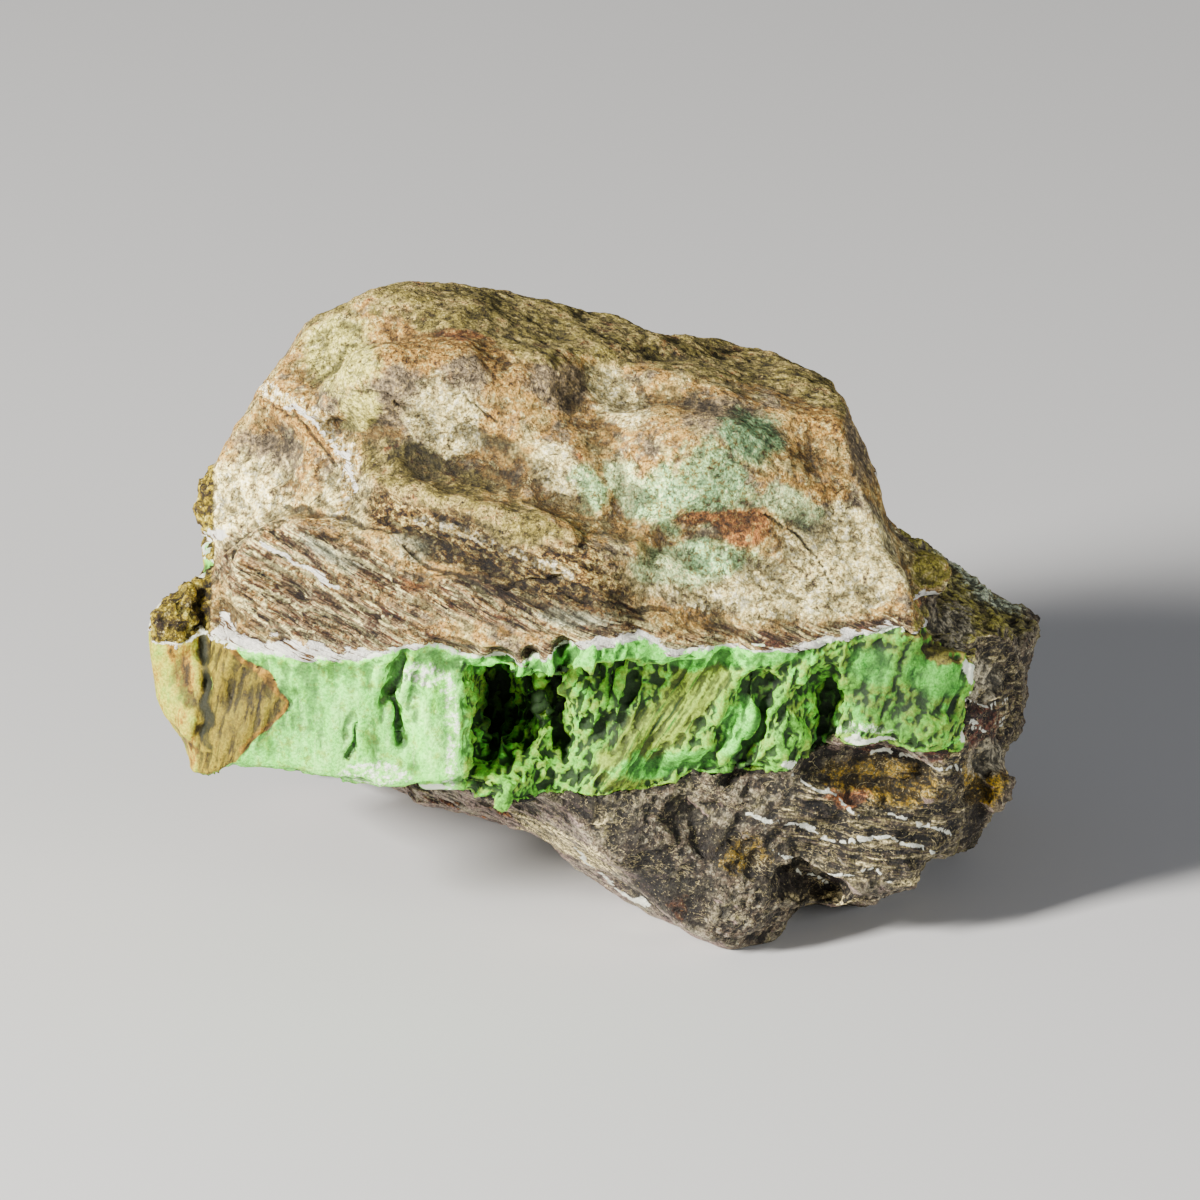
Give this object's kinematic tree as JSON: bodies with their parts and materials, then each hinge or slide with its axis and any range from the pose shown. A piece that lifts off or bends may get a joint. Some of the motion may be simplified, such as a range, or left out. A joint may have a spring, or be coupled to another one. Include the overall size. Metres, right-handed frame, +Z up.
{
  "type": "raw gaspeite",
  "caption": "Rough hand-sized lump of brown host rock crossed by a band of green ore, resting on a flat broken foot.",
  "frame": {"origin": "middle of the bounding box's footprint, on the ground the stone rests on", "axes": "+X along the stone's longest side, to the right as the green band faces the viewer; +Y from the viewer to the back; +Z up"},
  "size_m": [0.1342, 0.103, 0.0967],
  "materials": {
    "rock": "rough"
  },
  "bodies": {
    "root": {"gaspeite_rock": "rock"}
  },
  "joints": []
}
